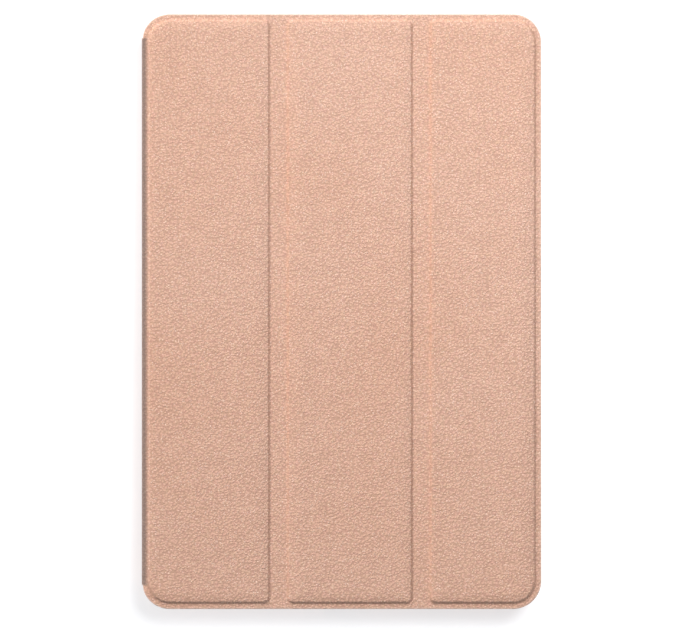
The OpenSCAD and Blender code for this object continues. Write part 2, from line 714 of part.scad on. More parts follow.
// A folded metal cage on the main board, open towards the wall
module card_reader() color("silver") difference() {
    block([tray_x0 - 1, wall_x - 0.4], [tray_y - tray_w / 2 - 0.4, tray_y + tray_w / 2 + 0.4],
        [pcb_z1, tray_z + tray_blade_t + fit + 0.1]);
    block([tray_x0 - fit, wall_x], [tray_y - tray_blade_w / 2 - fit, tray_y + tray_blade_w / 2 + fit],
        [tray_z - fit, tray_z + tray_blade_t + fit]);
}

// ---- Screws ----

module board_screws() color("silver") screws(board_screw_places, pcb_z1, pcb_t + 0.6);
module frame_screws() color("silver") screws(frame_screw_places, mid_z1, mid_frame_t + 1.8);

case_shell();
case_back_leather();
case_felt();
spine_leather();
spine_board();
spine_lining();
panel_1_leather();
panel_1_board();
panel_1_lining();
panel_2_leather();
panel_2_board();
panel_2_lining();
panel_3_leather();
panel_3_board();
panel_3_lining();
stand_steel_strip();
closing_magnets();
wake_magnet();
rear_housing();
antenna_windows();
mid_frame();
cover_glass();
display_adhesive();
lcd_cell();
backlight_unit();
display_shield();
display_flex();
battery_cell_left();
battery_cell_right();
battery_protection_board();
battery_adhesive();
main_board();
processor_shield();
radio_shield();
thermal_sheet();
port_board();
usb_c_receptacle();
interconnect_flex();
speaker_top_left();
speaker_top_right();
speaker_bottom_left();
speaker_bottom_right();
speaker_meshes();
front_camera();
rear_camera();
rear_camera_ring();
rear_camera_lens();
microphones();
power_key();
volume_key();
key_bracket();
key_switches();
card_tray();
card_reader();
wifi_antennas();
board_screws();
frame_screws();
hall_sensor();
light_sensor();
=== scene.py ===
import math

import bmesh
import bpy
from mathutils.geometry import delaunay_2d_cdt
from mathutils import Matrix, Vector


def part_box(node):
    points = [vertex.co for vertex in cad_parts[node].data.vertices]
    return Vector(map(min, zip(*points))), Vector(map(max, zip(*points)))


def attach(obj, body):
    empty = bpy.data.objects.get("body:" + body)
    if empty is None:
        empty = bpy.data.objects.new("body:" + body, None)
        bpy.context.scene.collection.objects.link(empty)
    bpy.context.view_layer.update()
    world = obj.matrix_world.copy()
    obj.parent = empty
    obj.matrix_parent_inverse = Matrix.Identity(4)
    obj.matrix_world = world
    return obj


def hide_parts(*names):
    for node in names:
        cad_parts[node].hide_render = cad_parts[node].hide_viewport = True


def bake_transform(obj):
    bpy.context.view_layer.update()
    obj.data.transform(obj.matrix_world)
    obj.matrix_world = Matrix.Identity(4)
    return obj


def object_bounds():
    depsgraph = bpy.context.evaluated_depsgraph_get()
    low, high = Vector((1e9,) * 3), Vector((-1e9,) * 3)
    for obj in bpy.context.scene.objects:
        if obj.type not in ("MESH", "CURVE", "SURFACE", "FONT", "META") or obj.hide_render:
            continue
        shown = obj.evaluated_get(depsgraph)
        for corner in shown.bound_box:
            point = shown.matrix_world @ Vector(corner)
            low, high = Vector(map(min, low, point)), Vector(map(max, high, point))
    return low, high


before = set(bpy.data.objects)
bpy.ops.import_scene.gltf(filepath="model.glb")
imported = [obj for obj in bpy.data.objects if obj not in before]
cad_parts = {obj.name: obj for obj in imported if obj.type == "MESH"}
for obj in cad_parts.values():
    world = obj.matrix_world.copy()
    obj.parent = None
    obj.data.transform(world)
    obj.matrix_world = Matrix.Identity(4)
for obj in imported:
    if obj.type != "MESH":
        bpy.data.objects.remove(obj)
cad_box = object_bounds()

# ---- Where it lies: a white table under soft light ----
# The closed case lies on its back with its spine to the left. A softbox hangs above the head of
# the table, and a low light from the head's left side picks out the edges of the panels.
scene = bpy.context.scene
scene.view_settings.view_transform = "Standard"

view_width = 0.2889
view_middle = (-0.0006, -0.00147)
lens_mm, film_mm = 180, 36
case_top = cad_box[1][2]
eye_height = case_top + view_width * lens_mm / film_mm

camera = bpy.data.objects.new("camera", bpy.data.cameras.new("camera"))
camera.data.lens, camera.data.sensor_width = lens_mm, film_mm
camera.data.clip_start, camera.data.clip_end = 0.05, 20
camera.location = (*view_middle, eye_height)
scene.collection.objects.link(camera)
scene.camera = camera


def set_up(tree, made, props, values):
    """Sets a node's properties and inputs. i0, i1 count inputs; a value may be another's output."""
    for key, value in (props or {}).items():
        setattr(made, key, value)
    for key, value in values.items():
        socket = made.inputs[int(key[1:]) if key[1:].isdigit() else key.replace("_", " ")]
        if isinstance(value, bpy.types.NodeSocket):
            tree.links.new(value, socket)
        else:
            socket.default_value = value
    return made


def put(tree, kind, props=None, **values):
    """Adds a shader node."""
    return set_up(tree, tree.nodes.new("ShaderNode" + kind), props, values)


# The room glows softly, and shows plain white where the camera looks past the table
room = bpy.data.worlds.new("room")
room.use_nodes = True
air = room.node_tree
glow = set_up(air, air.nodes["Background"], None, {"Color": (0.97, 0.985, 1, 1), "Strength": 0.345})
paper = put(air, "Background", Color=(1, 1, 1, 1))
seen = put(air, "MixShader", i0=put(air, "LightPath").outputs["Is Camera Ray"],
           i1=glow.outputs[0], i2=paper.outputs[0])
air.links.new(seen.outputs[0], air.nodes["World Output"].inputs["Surface"])
scene.world = room


def aimed(name, toward, distance, energy, **settings):
    """A square lamp at a distance from the case, facing it. toward points from the case to it."""
    lamp = bpy.data.lights.new(name, "AREA")
    lamp.energy = energy
    for key, value in settings.items():
        setattr(lamp, key, value)
    obj = bpy.data.objects.new(name, lamp)
    length = math.sqrt(sum(c * c for c in toward))
    obj.location = [c / length * distance for c in toward]
    obj.rotation_euler = obj.location.to_track_quat("Z", "Y").to_euler()
    scene.collection.objects.link(obj)
    return obj


aimed("overhead_softbox", (0.43, 0.48, 0.77), 0.72, 3.75, size=0.48)
low = aimed("low_head_light", (-0.66, 0.63, 0.46), 2.6, 97, size=0.7, use_shadow=False)
low.visible_glossy = False

table = bmesh.new()
bmesh.ops.create_grid(table, x_segments=1, y_segments=1, size=4)
table_mesh = bpy.data.meshes.new("table")
table.to_mesh(table_mesh)
table_top = bpy.data.objects.new("table", table_mesh)
scene.collection.objects.link(table_top)
# far from the case the table glows as white as the room, so that it has no visible end
white_from, white_to = 0.24, 0.55
white = bpy.data.materials.new("table_white")
white.use_nodes = True
coat = white.node_tree
paint = set_up(coat, coat.nodes["Principled BSDF"], None, {
    "Base Color": (0.90, 0.905, 0.92, 1), "Roughness": 0.9, "Specular IOR Level": 0.1})
far = put(coat, "VectorMath", {"operation": "LENGTH"}, i0=put(coat, "TexCoord").outputs["Object"])
fade = put(coat, "MapRange", Value=far.outputs["Value"], From_Min=white_from, From_Max=white_to)
blend = put(coat, "MixShader", i0=fade.outputs[0], i1=paint.outputs[0],
            i2=put(coat, "Emission").outputs[0])
coat.links.new(blend.outputs[0], coat.nodes["Material Output"].inputs["Surface"])
table_mesh.materials.append(white)

# ---- Rear housing ----
# The tablet's bowl is milled from one aluminium plate, bead-blasted and anodised a warm silver.
# Its long edges are rounded over and the key, tray and port cuts have a fine chamfer.


def tint(tree, amount, low, high):
    """The colour between low and high, linear RGB, at amount 0 to 1."""
    made = put(tree, "Mix", {"data_type": "RGBA"}, i0=amount, i6=(*low, 1), i7=(*high, 1))
    return made.outputs[2]


def between(tree, value, a, b, c, d, smooth=False):
    """value, from a to b, brought to c to d and held there."""
    kind = "SMOOTHSTEP" if smooth else "LINEAR"
    made = put(tree, "MapRange", {"interpolation_type": kind}, i0=value, i1=a, i2=b, i3=c, i4=d)
    return made.outputs[0]


def reckon(tree, operation, *values):
    """The result of a Math node."""
    into = {f"i{n}": value for n, value in enumerate(values)}
    return put(tree, "Math", {"operation": operation}, **into).outputs[0]


def shader_group(name, takes, gives):
    """An empty shader node group with float, colour or vector sockets by name."""
    group = bpy.data.node_groups.new(name, "ShaderNodeTree")
    kinds = {"f": "NodeSocketFloat", "c": "NodeSocketColor", "v": "NodeSocketVector"}
    for side, sockets in (("INPUT", takes), ("OUTPUT", gives)):
        for socket, kind in sockets.items():
            group.interface.new_socket(socket, in_out=side, socket_type=kinds[kind])
    return group, group.nodes.new("NodeGroupInput").outputs, group.nodes.new("NodeGroupOutput").inputs


# Fine grain: two octaves of soft noise, as blasted, moulded and pressed surfaces have
grain_group, taken, given = shader_group(
    "fine_grain", {"Where": "v", "Per metre": "f"}, {"Tone": "f", "Height": "f"})
coarse = put(grain_group, "TexNoise", Vector=taken["Where"], Scale=taken["Per metre"], Detail=3.0)
finer = reckon(grain_group, "MULTIPLY", taken["Per metre"], 5.0)
fine = put(grain_group, "TexNoise", Vector=taken["Where"], Scale=finer, Detail=2.0)
both = reckon(grain_group, "MULTIPLY_ADD", fine.outputs["Fac"], 0.5, coarse.outputs["Fac"])
grain_group.links.new(between(grain_group, coarse.outputs["Fac"], 0.3, 0.7, 0, 1), given["Tone"])
grain_group.links.new(both, given["Height"])

# Handling: faint smears and a little dust, which dull a surface in patches
touch_group, taken, given = shader_group("handling", {"Where": "v"}, {"Smear": "f", "Dust": "f"})
patches = put(touch_group, "TexNoise", Vector=taken["Where"], Scale=22.0, Detail=4.0, Distortion=1.2)
touch_group.links.new(
    between(touch_group, patches.outputs["Fac"], 0.45, 0.75, 0, 1, True), given["Smear"])
motes = put(touch_group, "TexVoronoi", Vector=taken["Where"], Scale=260.0)
touch_group.links.new(
    between(touch_group, motes.outputs["Distance"], 0.05, 0.12, 1, 0), given["Dust"])


def bare(name):
    """A new material, its node tree and its one shader."""
    made = bpy.data.materials.new(name)
    made.use_nodes = True
    return made, made.node_tree, made.node_tree.nodes["Principled BSDF"]


def finish(name, low, high, rough, metal=0.0, per_metre=400.0, depth=0.01, spread=0.12, **fixed):
    """A material that runs from low to high over a fine grain, bumped depth mm deep.

    rough is its roughness, spread how much smears change it; fixed are the shader's own values."""
    made, tree, skin = bare(name)
    where = put(tree, "TexCoord").outputs["Object"]
    grain = put(tree, "Group", {"node_tree": grain_group}, Where=where, i1=per_metre)
    touch = put(tree, "Group", {"node_tree": touch_group}, Where=where)
    bump = put(tree, "Bump", Distance=depth / 1000, Strength=1.0, Height=grain.outputs["Height"])
    set_up(tree, skin, None, {
        "Base Color": tint(tree, grain.outputs["Tone"], low, high),
        "Roughness": between(tree, touch.outputs["Smear"], 0, 1, rough, rough + spread),
        "Normal": bump.outputs["Normal"], "Metallic": metal, **fixed})
    return made


def dress(made, *nodes):
    """Gives CAD nodes this material, in place of the plain one of their slot."""
    for name in nodes:
        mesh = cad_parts[name].data
        mesh.materials.clear()
        mesh.materials.append(made)
        for face in mesh.polygons:
            face.material_index = 0


smooth_below = math.radians(32)


def soften(node, made, width, body, segments=2, name=None):
    """A copy of a CAD node with its sharp edges eased by width mm, which is shown in its place."""
    shape = bmesh.new()
    shape.from_mesh(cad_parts[node].data)
    bmesh.ops.remove_doubles(shape, verts=shape.verts, dist=2e-6)
    bmesh.ops.dissolve_degenerate(shape, edges=shape.edges, dist=1e-6)
    bmesh.ops.dissolve_limit(shape, angle_limit=math.radians(1.0), verts=shape.verts,
                             edges=shape.edges)
    mesh = bpy.data.meshes.new(name or node + "_eased")
    shape.to_mesh(mesh)
    shape.free()
    mesh.materials.append(made)
    piece = bpy.data.objects.new(mesh.name, mesh)
    scene.collection.objects.link(piece)
    ease = piece.modifiers.new("ease", "BEVEL")
    ease.width, ease.segments, ease.limit_method = width / 1000, segments, "ANGLE"
    ease.angle_limit, ease.harden_normals = smooth_below, False
    ease.use_clamp_overlap = True
    settle(piece)
    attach(piece, body)
    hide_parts(node)


def settle(piece):
    """Turns a piece's modifiers into its final mesh, smooth but for its sharp edges."""
    bpy.context.view_layer.update()
    shown = piece.evaluated_get(bpy.context.evaluated_depsgraph_get())
    final = bpy.data.meshes.new_from_object(shown)
    piece.modifiers.clear()
    piece.data = final
    final.shade_smooth()
    final.set_sharp_from_angle(angle=smooth_below)


aluminium = finish("anodised_aluminium", (0.62, 0.55, 0.51), (0.70, 0.63, 0.59), 0.34, 1.0,
                   per_metre=2600, depth=0.006)
soften("rear_housing", aluminium, 0.12, "tablet")

# ---- Antenna windows, ports and grilles in the housing ----
# Glass-filled nylon windows are moulded into the long sides so that the aerials behind them
# work. Woven steel mesh backs the speaker holes; the charging socket is a steel shell.
nylon = finish("antenna_plastic", (0.50, 0.45, 0.42), (0.56, 0.51, 0.48), 0.45, per_metre=900)
dress(nylon, "antenna_windows")

stainless = finish("sheet_steel", (0.50, 0.50, 0.51), (0.62, 0.62, 0.63), 0.28, 1.0,
                   per_metre=700, depth=0.004)
dress(stainless, "mid_frame", "speaker_meshes", "card_reader", "key_bracket",
      "board_screws", "frame_screws", "stand_steel_strip")
soften("usb_c_receptacle", stainless, 0.08, "tablet")

# The socket's tongue is black moulded plastic with twelve gilt contacts on each face
socket_low, socket_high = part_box("usb_c_receptacle")
port_x = (socket_low.x + socket_high.x) / 2
port_z = (socket_low.z + socket_high.z) / 2
tongue_w, tongue_t, tongue_y0, tongue_y1 = 0.0067, 0.0007, -0.1227, -0.1168

socket_black = finish("component_black", (0.012, 0.012, 0.013), (0.022, 0.022, 0.024), 0.4,
                      per_metre=1500)


def bar(name, made, low, high, ease):
    """A block between two corners, with its edges eased by ease metres."""
    shape = bmesh.new()
    bmesh.ops.create_cube(shape, size=1)
    for corner in shape.verts:
        corner.co = [(a + b) / 2 + c * (b - a) for a, b, c in zip(low, high, corner.co)]
    bmesh.ops.bevel(shape, geom=shape.edges, offset=ease, segments=3, profile=0.5,
                    affect="EDGES", clamp_overlap=True)
    mesh = bpy.data.meshes.new(name)
    shape.to_mesh(mesh)
    shape.free()
    mesh.materials.append(made)
    piece = bpy.data.objects.new(name, mesh)
    scene.collection.objects.link(piece)
    return piece


tongue = bar("usb_tongue", socket_black,
             (port_x - tongue_w / 2, tongue_y0, port_z - tongue_t / 2),
             (port_x + tongue_w / 2, tongue_y1, port_z + tongue_t / 2), 0.0002)
tongue.data.shade_smooth()
tongue.data.set_sharp_from_angle(angle=math.radians(40))
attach(tongue, "tablet")

gilt = finish("contact_brass", (0.78, 0.57, 0.25), (0.86, 0.66, 0.33), 0.25, 1.0, per_metre=1800)


def repeater(name, made, sizes):
    """A geometry tree with named size inputs, its input sockets, and a joiner for what repeats."""
    tree = bpy.data.node_groups.new(name, "GeometryNodeTree")
    for key in sizes:
        tree.interface.new_socket(key, in_out="INPUT", socket_type="NodeSocketFloat")
    tree.interface.new_socket("Geometry", in_out="OUTPUT", socket_type="NodeSocketGeometry")
    taken = tree.nodes.new("NodeGroupInput").outputs
    real = tree.nodes.new("GeometryNodeRealizeInstances")
    paint = tree.nodes.new("GeometryNodeSetMaterial")
    paint.inputs["Material"].default_value = made
    given = tree.nodes.new("NodeGroupOutput")
    tree.links.new(real.outputs[0], paint.inputs["Geometry"])
    tree.links.new(paint.outputs[0], given.inputs[0])
    return tree, taken, real.inputs[0]


def geo(tree, kind, props=None, **values):
    """Adds a geometry node and gives its first output."""
    return set_up(tree, tree.nodes.new(kind), props, values).outputs[0]


def repeat(name, tree, sizes, body):
    """Runs a geometry tree with these sizes and keeps what it makes as a plain mesh."""
    piece = bpy.data.objects.new(name, bpy.data.meshes.new(name))
    scene.collection.objects.link(piece)
    live = piece.modifiers.new("repeat", "NODES")
    live.node_group = tree
    for item in tree.interface.items_tree:
        if item.in_out == "INPUT":
            live[item.identifier] = sizes[item.name]
    settle(piece)
    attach(piece, body)


contacts = 12
contact_sizes = {"Pitch": 0.0005, "Width": 0.00026, "Length": 0.0036, "Height": tongue_t + 0.00006,
                 "Middle x": port_x, "Middle y": tongue_y0 + 0.0024, "Middle z": port_z}
contact_tree, taken, result = repeater("contact_row", gilt, contact_sizes)
first_x = reckon(contact_tree, "MULTIPLY_ADD",
                 taken["Pitch"], -(contacts - 1) / 2, taken["Middle x"])
row_start = geo(contact_tree, "ShaderNodeCombineXYZ",
                i0=first_x, i1=taken["Middle y"], i2=taken["Middle z"])
row_step = geo(contact_tree, "ShaderNodeCombineXYZ", i0=taken["Pitch"])
row_line = geo(contact_tree, "GeometryNodeMeshLine", i0=contacts, i2=row_start, i3=row_step)
contact_size = geo(contact_tree, "ShaderNodeCombineXYZ",
                   i0=taken["Width"], i1=taken["Length"], i2=taken["Height"])
one_contact = geo(contact_tree, "GeometryNodeMeshCube", i0=contact_size)
contact_tree.links.new(
    geo(contact_tree, "GeometryNodeInstanceOnPoints", Points=row_line, Instance=one_contact), result)
repeat("usb_contacts", contact_tree, contact_sizes, "tablet")

# ---- Keys and card tray ----
# The power key, the volume rocker and the card tray's head are cut from the same aluminium and
# their edges are rounded, because a fingertip finds them by touch through the case's opening.
key_metal = finish("key_aluminium", (0.58, 0.51, 0.47), (0.66, 0.59, 0.55), 0.30, 1.0,
                   per_metre=2600, depth=0.004)
soften("power_key", key_metal, 0.22, "power_key", 3, name="power_key_cap")
soften("volume_key", key_metal, 0.22, "volume_key", 3, name="volume_key_cap")
soften("card_tray", key_metal, 0.12, "card_tray", 2, name="card_tray_drawer")
dress(socket_black, "key_switches", "microphones", "hall_sensor")

# ---- Rear camera ----
# A polished ring stands just proud of the housing around a coated lens cover. Seen from below,
# the lens shows its black barrel as fine rings around a small dark pupil.
polished = finish("polished_aluminium", (0.70, 0.64, 0.60), (0.76, 0.70, 0.66), 0.12, 1.0,
                  per_metre=900, depth=0.001, spread=0.06)
soften("rear_camera_ring", polished, 0.2, "tablet", 3, name="camera_ring")

lens_low, lens_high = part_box("rear_camera_lens")


def dark_glass(name, rings_about=None, window=None):
    """Opaque black glass under a clear polished coat. It may show a lens barrel's rings about a
    point, or a switched-off screen, slightly greyer than its border, inside a window."""
    made, tree, skin = bare(name)
    where = put(tree, "TexCoord").outputs["Object"]
    touch = put(tree, "Group", {"node_tree": touch_group}, Where=where)
    axes = put(tree, "SeparateXYZ", Vector=where).outputs
    if rings_about:
        flat = put(tree, "CombineXYZ", X=axes["X"], Y=axes["Y"]).outputs[0]
        away = put(tree, "VectorMath", {"operation": "DISTANCE"}, i0=flat, i1=(*rings_about, 0))
        wave = reckon(tree, "SINE", reckon(tree, "MULTIPLY", away.outputs["Value"], 9000.0))
        pupil = between(tree, away.outputs["Value"], 0.0012, 0.0016, 0, 1, True)
        amount = reckon(tree, "MULTIPLY", between(tree, wave, -1, 1, 0.1, 1), pupil)
        colour = tint(tree, amount, (0.003, 0.003, 0.006), (0.035, 0.04, 0.055))
    elif window:
        edges = []
        for axis, half in zip("XY", window):
            size = reckon(tree, "ABSOLUTE", axes[axis])
            edges.append(between(tree, size, half - 0.0001, half + 0.0001, 1, 0))
        colour = tint(tree, reckon(tree, "MULTIPLY", *edges),
                      (0.0035, 0.0035, 0.004), (0.011, 0.012, 0.015))
    else:
        colour = tint(tree, touch.outputs["Dust"], (0.003, 0.003, 0.004), (0.02, 0.02, 0.02))
    set_up(tree, skin, None, {
        "Base Color": colour, "Roughness": between(tree, touch.outputs["Smear"], 0, 1, 0.035, 0.14),
        "IOR": 1.5, "Coat Weight": 0.6, "Coat Roughness": 0.02})
    return made


lens_middle = ((lens_low.x + lens_high.x) / 2, (lens_low.y + lens_high.y) / 2)
soften("rear_camera_lens", dark_glass("lens_glass", lens_middle), 0.1, "tablet", 2,
       name="camera_lens")
dress(socket_black, "rear_camera", "front_camera", "light_sensor")

# ---- Inside the tablet ----
# Two lithium pouches are glued to the floor between a main board at the head and a small board
# behind the charging socket, which a flat cable joins. Four sealed speakers fill the corners.
pouch = finish("battery_pouch", (0.030, 0.031, 0.034), (0.055, 0.056, 0.060), 0.33, 0.3,
               per_metre=180, depth=0.05)
dress(pouch, "battery_cell_left", "battery_cell_right")
glue = finish("adhesive", (0.20, 0.20, 0.19), (0.30, 0.30, 0.28), 0.55, per_metre=500)
dress(glue, "battery_adhesive", "display_adhesive")
graphite = finish("graphite_sheet", (0.035, 0.035, 0.037), (0.07, 0.07, 0.073), 0.42, 0.4,
                  per_metre=350, depth=0.01)
dress(graphite, "thermal_sheet")
dress(stainless, "processor_shield", "radio_shield")
dress(socket_black, "speaker_top_left", "speaker_top_right",
      "speaker_bottom_left", "speaker_bottom_right")


def traced(name, ground, trace, per_metre, rough):
    """Laminate with copper tracks under its lacquer: straight runs at three angles, and vias."""
    made = finish(name, ground, [c * 1.25 for c in ground], rough, per_metre=900, depth=0.003)
    tree = made.node_tree
    where = tree.nodes["Texture Coordinate"].outputs["Object"]
    cells = put(tree, "TexVoronoi", {"distance": "CHEBYCHEV", "feature": "F1"},
                Vector=where, Scale=per_metre)
    run = put(tree, "TexWave", {"wave_type": "BANDS", "bands_direction": "DIAGONAL"},
              Vector=cells.outputs["Color"], Scale=4.0)
    tracks = put(tree, "TexBrick", {"offset": 0.37}, Vector=where, i1=(1, 1, 1, 1), i2=(1, 1, 1, 1),
                 i3=(0, 0, 0, 1), Scale=per_metre * 2.2, Mortar_Size=0.06)
    vias = between(tree, cells.outputs["Distance"], 0.10, 0.14, 1, 0)
    lines = put(tree, "Math", {"operation": "MULTIPLY_ADD", "use_clamp": True},
                i0=between(tree, tracks.outputs["Fac"], 0.2, 0.8, 0, 0.8),
                i1=run.outputs["Fac"], i2=vias)
    base = tree.nodes["Principled BSDF"].inputs["Base Color"]
    colour = put(tree, "Mix", {"data_type": "RGBA"}, i0=lines.outputs[0],
                 i6=base.links[0].from_socket, i7=(*trace, 1))
    tree.links.new(colour.outputs[2], base)
    return made


board_green = traced("circuit_board", (0.012, 0.050, 0.036), (0.05, 0.13, 0.085), 420, 0.38)
dress(board_green, "main_board", "port_board", "battery_protection_board")
flex_amber = traced("flat_cable", (0.20, 0.085, 0.020), (0.42, 0.20, 0.06), 300, 0.32)
dress(flex_amber, "display_flex", "interconnect_flex", "wifi_antennas")

# ---- Small parts on the main board ----
# Ceramic capacitors and resistors stand in loose rows on the top of the main board, clear of
# the shields. Each is a tiny block, and their places and turns come from one fixed seed.
ceramic = finish("ceramic", (0.16, 0.11, 0.075), (0.30, 0.23, 0.17), 0.5, per_metre=1200)
chip_sizes = {"Area x": 0.030, "Area y": 0.020, "Middle x": 0.0415, "Middle y": 0.082,
              "Middle z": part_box("main_board")[1].z + 0.0002, "Chip": 0.0011, "Tall": 0.0004}
chip_tree, taken, result = repeater("chip_scatter", ceramic, chip_sizes)
across, along = 16, 9
field = geo(chip_tree, "GeometryNodeMeshGrid",
            i0=taken["Area x"], i1=taken["Area y"], i2=across, i3=along)
middle = geo(chip_tree, "ShaderNodeCombineXYZ",
             i0=taken["Middle x"], i1=taken["Middle y"], i2=taken["Middle z"])
field = geo(chip_tree, "GeometryNodeSetPosition", Geometry=field, Offset=middle)
kept = set_up(chip_tree, chip_tree.nodes.new("FunctionNodeRandomValue"),
              {"data_type": "BOOLEAN"}, {"Probability": 0.62, "Seed": 7})
turned = set_up(chip_tree, chip_tree.nodes.new("FunctionNodeRandomValue"),
                {"data_type": "INT"}, {"i4": 0, "i5": 1, "Seed": 11})
turn = reckon(chip_tree, "MULTIPLY", turned.outputs[2], math.pi / 2)
chip_w = reckon(chip_tree, "MULTIPLY", taken["Chip"], 0.55)
chip = geo(chip_tree, "GeometryNodeMeshCube", i0=geo(
    chip_tree, "ShaderNodeCombineXYZ", i0=taken["Chip"], i1=chip_w, i2=taken["Tall"]))
chips = geo(chip_tree, "GeometryNodeInstanceOnPoints", Points=field, Instance=chip,
            Selection=kept.outputs[3], Rotation=geo(chip_tree, "ShaderNodeCombineXYZ", i2=turn))
chip_tree.links.new(chips, result)
repeat("board_capacitors", chip_tree, chip_sizes, "tablet")

# ---- Display ----
# The screen is one flat glass with a polished, eased edge. It is switched off: a black border
# is printed behind it around the slightly greyer panel. The cell and its backlight lie below.
dress(finish("backlight_plastic", (0.72, 0.73, 0.74), (0.80, 0.81, 0.82), 0.35, per_metre=250),
      "backlight_unit")
dress(stainless, "display_shield")
cell_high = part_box("lcd_cell")[1]
dress(dark_glass("display_cell"), "lcd_cell")
soften("cover_glass", dark_glass("screen_glass", window=(cell_high.x, cell_high.y)),
       0.22, "tablet", 3, name="cover_glass_polished")

# ---- Case shell ----
# A thin polycarbonate tray, moulded in the leather's rose colour with a satin face, grips the
# tablet with a small lip. Felt lines its floor, and the leather back is glued under it.
shell_rose = finish("case_shell_plastic", (0.46, 0.275, 0.215), (0.50, 0.305, 0.24), 0.42,
                    per_metre=1400, depth=0.008, spread=0.1)
soften("case_shell", shell_rose, 0.14, "tablet", 2)
felt = finish("case_felt", (0.11, 0.085, 0.08), (0.20, 0.16, 0.15), 0.95, per_metre=900,
              depth=0.12, Sheen_Weight=0.5, Sheen_Roughness=0.5)
dress(felt, "case_felt")

# ---- Leather back ----
# Embossed polyurethane leather, 0.6 mm thick, is glued under the shell and turns up round the
# spine's lower edge. It is cut in one piece with the cover; here it runs to mid-spine.
leather_t = 0.6
turn_r = 2.0
cover_r = 12.0
edge_r = 0.3
# mesh lines run this far inside a cut edge, so that its rounding has a shape
edge_lines = (0.05, 0.14, edge_r, 0.8)


def mm(metres):
    """A place in the frame, in millimetres to a hundredth."""
    return round(metres * 1000, 2)


cover_x, cover_y = mm(cad_box[1][0]), mm(cad_box[1][1])
spine_low, spine_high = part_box("spine_board")
spine_y = mm(spine_high.y)
mid_spine_z = mm((spine_low.z + spine_high.z) / 2)
web_z = round(mm(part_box("panel_2_leather")[0].z) + leather_t, 2)
bend_x = turn_r - cover_x
quarter = turn_r * math.pi / 2
spine_s = -(quarter + mid_spine_z - turn_r)

# Pressed grain: rounded pebbles with creases between them, smaller dimples and pores over them,
# a slow swell, and here and there a bright speck
pebble_group, taken, given = shader_group(
    "pebble_grain", {"Where": "v", "Per metre": "f"}, {"Height": "f", "Tone": "f", "Speck": "f"})
stir = put(pebble_group, "TexNoise", Vector=taken["Where"], Scale=700.0, Detail=1.0)
stirred = put(pebble_group, "VectorMath", {"operation": "MULTIPLY_ADD"}, i0=stir.outputs["Color"],
              i1=(0.0005, 0.0005, 0.0), i2=taken["Where"]).outputs[0]
pebbles = put(pebble_group, "TexVoronoi", {"voronoi_dimensions": "2D", "feature": "SMOOTH_F1"},
              Vector=stirred, Scale=taken["Per metre"], Smoothness=0.35)
small_scale = reckon(pebble_group, "MULTIPLY", taken["Per metre"], 1.9)
small = put(pebble_group, "TexVoronoi", {"voronoi_dimensions": "2D", "feature": "F1"},
            Vector=stirred, Scale=small_scale)
swell = put(pebble_group, "TexNoise", Vector=taken["Where"], Scale=150.0, Detail=3.0)
pore_scale = reckon(pebble_group, "MULTIPLY", taken["Per metre"], 2.3)
pores = put(pebble_group, "TexNoise", Vector=taken["Where"], Scale=pore_scale, Detail=1.0)
top = between(pebble_group, pebbles.outputs["Distance"], 0.05, 0.62, 1, 0, True)
dimple = between(pebble_group, small.outputs["Distance"], 0.0, 0.6, 0.45, 0, True)
lumps = reckon(pebble_group, "ADD", top, dimple)
rolling = reckon(pebble_group, "MULTIPLY_ADD", swell.outputs["Fac"], 0.8, lumps)
height = reckon(pebble_group, "MULTIPLY_ADD", pores.outputs["Fac"], 1.6, rolling)
pebble_group.links.new(height, given["Height"])
pebble_group.links.new(between(pebble_group, height, 1.1, 2.45, 0, 1), given["Tone"])
chosen = put(pebble_group, "SeparateColor", i0=small.outputs["Color"]).outputs[0]
rare = between(pebble_group, chosen, 0.86, 0.9, 0, 1)
near = between(pebble_group, small.outputs["Distance"], 0.12, 0.34, 1, 0)
pebble_group.links.new(reckon(pebble_group, "MULTIPLY", rare, near), given["Speck"])

# the dark colour painted on as shade where the hide turns round the spine, and how far along the hide
# it comes in and goes out
turn_shade_colour = (0.085, 0.070, 0.064)
comes_in, goes_out, end_fade = (0.0014, -0.0010), (-0.0034, -0.0022), 0.0005


